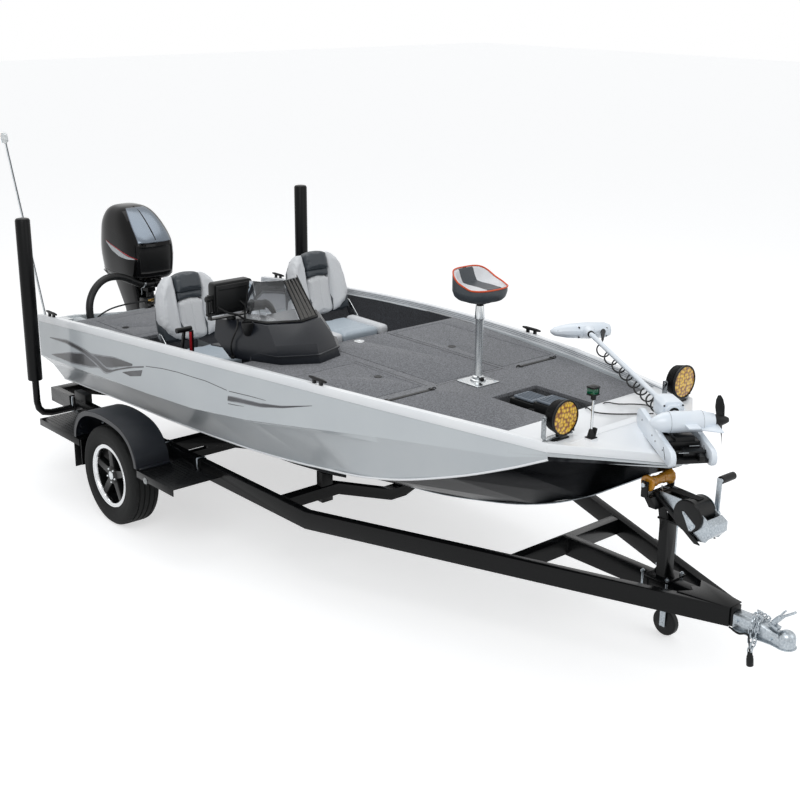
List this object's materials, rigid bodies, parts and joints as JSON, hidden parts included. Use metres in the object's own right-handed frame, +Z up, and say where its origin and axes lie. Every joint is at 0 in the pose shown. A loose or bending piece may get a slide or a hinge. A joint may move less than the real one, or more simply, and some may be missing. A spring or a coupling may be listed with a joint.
{
  "type": "bass boat on a trailer",
  "caption": "aluminium bass boat with outboard, bow motor, console and seats, resting on its single-axle trailer with winch post, jack, guide poles and steps",
  "frame": {"origin": "middle of the whole on the ground", "axes": "+X to the bow and the trailer's coupler, +Y to port, +Z up"},
  "size_m": [6.223, 2.45, 2.3943],
  "materials": {
    "black_paint": "gloss black powder coat",
    "zinc": "bright zinc plate",
    "tyre": "road tyre rubber",
    "black_plastic": "moulded, fine grain",
    "hull_paint": "pale gloss paint with dark stripes",
    "white_trim": "white extrusion and cap",
    "carpet": "mid-grey marine carpet",
    "bunk_carpet": "dark bunk carpet",
    "seat_vinyl": "light-grey and charcoal marine vinyl",
    "smoked": "smoked acrylic",
    "gloss_black": "gloss black cowl",
    "amber": "amber urethane",
    "stainless": "polished stainless"
  },
  "bodies": {
    "boat": {"frame_rail_port": "black_paint", "frame_rail_starboard": "black_paint", "tongue": "black_paint", "crossmember_aft": "black_paint", "crossmember_middle": "black_paint", "crossmember_forward": "black_paint", "axle": "black_paint", "winch_post": "black_paint", "outboard_clamp": "black_paint", "coupler": "zinc", "seat_post": "zinc", "guide_pole_cover_port": "black_plastic", "guide_pole_cover_starboard": "black_plastic", "fender_port": "black_plastic", "fender_starboard": "black_plastic", "winch": "black_plastic", "foot_pedal": "black_plastic", "console": "black_plastic", "fish_finder": "black_plastic", "throttle_control": "black_plastic", "spot_light_port": "black_plastic", "spot_light_starboard": "black_plastic", "nav_light": "black_plastic", "trolling_cable": "black_plastic", "rigging_hose": "black_plastic", "hull": "hull_paint", "gunwale_port": "white_trim", "gunwale_starboard": "white_trim", "bow_cap": "white_trim", "trolling_mount": "white_trim", "trolling_motor": "white_trim", "front_deck": "carpet", "aft_deck": "carpet", "bunk_port": "bunk_carpet", "bunk_starboard": "bunk_carpet", "seat_cushion_port": "seat_vinyl", "seat_cushion_starboard": "seat_vinyl", "windscreen": "smoked", "stern_light": "stainless"},
    "wheel_port": {"rim_port": "black_paint", "tyre_port": "tyre"},
    "wheel_starboard": {"rim_starboard": "black_paint", "tyre_starboard": "tyre"},
    "bow_roller": {"bow_roller": "amber"},
    "winch_crank": {"winch_crank": "zinc"},
    "jack": {"jack": "zinc"},
    "jack_wheel": {"jack_wheel": "black_plastic"},
    "front_lid_starboard": {"front_lid_starboard": "carpet"},
    "front_lid_centre": {"front_lid_centre": "carpet"},
    "front_lid_port": {"front_lid_port": "carpet"},
    "aft_lid": {"aft_lid": "carpet"},
    "butt_seat": {"butt_seat": "seat_vinyl"},
    "seat_back_port": {"seat_back_port": "seat_vinyl"},
    "seat_back_starboard": {"seat_back_starboard": "seat_vinyl"},
    "steering_wheel": {"steering_wheel": "black_plastic"},
    "outboard_swivel": {"outboard_swivel": "black_paint"},
    "outboard": {"outboard": "gloss_black"},
    "propeller": {"propeller": "gloss_black"},
    "trolling_propeller": {"trolling_propeller": "black_plastic"}
  },
  "joints": [
    {"name": "wheel_port_spin", "type": "hinge", "parent": "boat", "child": "wheel_port", "pos_m": [-1.1965, 1.1045, 0.331], "axis": [0, 1, 0], "continuous": true},
    {"name": "wheel_starboard_spin", "type": "hinge", "parent": "boat", "child": "wheel_starboard", "pos_m": [-1.1965, -1.1045, 0.331], "axis": [0, 1, 0], "continuous": true},
    {"name": "bow_roller_spin", "type": "hinge", "parent": "boat", "child": "bow_roller", "pos_m": [2.2595, 0, 1.045], "axis": [0, 1, 0], "continuous": true},
    {"name": "winch_crank_turn", "type": "hinge", "parent": "boat", "child": "winch_crank", "pos_m": [2.5535, 0.09, 0.93], "axis": [0, 1, 0], "continuous": true},
    {"name": "jack_swing", "type": "hinge", "parent": "boat", "child": "jack", "pos_m": [2.0943, 0.33011, 0.5], "axis": [0.3541, 0.9352, 0], "range_deg": [0, 90]},
    {"name": "jack_wheel_spin", "type": "hinge", "parent": "jack", "child": "jack_wheel", "pos_m": [2.10545, 0.35957, 0.076], "axis": [0, 1, 0], "continuous": true},
    {"name": "front_lid_starboard_hinge", "type": "hinge", "parent": "boat", "child": "front_lid_starboard", "pos_m": [0.5185, -0.735, 1.245], "axis": [1, 0, 0], "range_deg": [0, 85]},
    {"name": "front_lid_centre_hinge", "type": "hinge", "parent": "boat", "child": "front_lid_centre", "pos_m": [0.8335, 0.0425, 1.245], "axis": [0, 1, 0], "range_deg": [0, 60]},
    {"name": "front_lid_port_hinge", "type": "hinge", "parent": "boat", "child": "front_lid_port", "pos_m": [0.3435, 0.735, 1.245], "axis": [-1, 0, 0], "range_deg": [0, 85]},
    {"name": "aft_lid_hinge", "type": "hinge", "parent": "boat", "child": "aft_lid", "pos_m": [-1.9665, -0.66, 1.07], "axis": [1, 0, 0], "range_deg": [0, 85]},
    {"name": "butt_seat_swivel", "type": "hinge", "parent": "boat", "child": "butt_seat", "pos_m": [0.9625, 0, 1.69], "axis": [0, 0, 1], "continuous": true},
    {"name": "seat_back_port_fold", "type": "hinge", "parent": "boat", "child": "seat_back_port", "pos_m": [-1.1815, 0.525, 1.19], "axis": [0, 1, 0], "range_deg": [0, 98]},
    {"name": "seat_back_starboard_fold", "type": "hinge", "parent": "boat", "child": "seat_back_starboard", "pos_m": [-1.1815, -0.525, 1.19], "axis": [0, 1, 0], "range_deg": [0, 98]},
    {"name": "steering_wheel_turn", "type": "hinge", "parent": "boat", "child": "steering_wheel", "pos_m": [-0.5665, -0.45, 1.335], "axis": [-0.9397, 0, 0.342], "range_deg": [-545, 545]},
    {"name": "outboard_tilt", "type": "hinge", "parent": "boat", "child": "outboard_swivel", "pos_m": [-2.5265, 0, 1.07], "axis": [0, 1, 0], "range_deg": [0, 65], "deforming": ["rigging_hose"]},
    {"name": "outboard_steer", "type": "hinge", "parent": "outboard_swivel", "child": "outboard", "pos_m": [-2.6165, 0, 1.07], "axis": [0, 0, 1], "range_deg": [-30, 30]},
    {"name": "propeller_spin", "type": "hinge", "parent": "outboard", "child": "propeller", "pos_m": [-3.0465, 0, 0.27], "axis": [1, 0, 0], "continuous": true},
    {"name": "trolling_propeller_spin", "type": "hinge", "parent": "boat", "child": "trolling_propeller", "pos_m": [2.53491, 0.08593, 1.41], "axis": [0.5452, 0.8383, 0], "continuous": true}
  ],
  "couplings": [
    {"joint": "steering_wheel_turn", "follows": "outboard_steer", "ratio": -18}
  ]
}
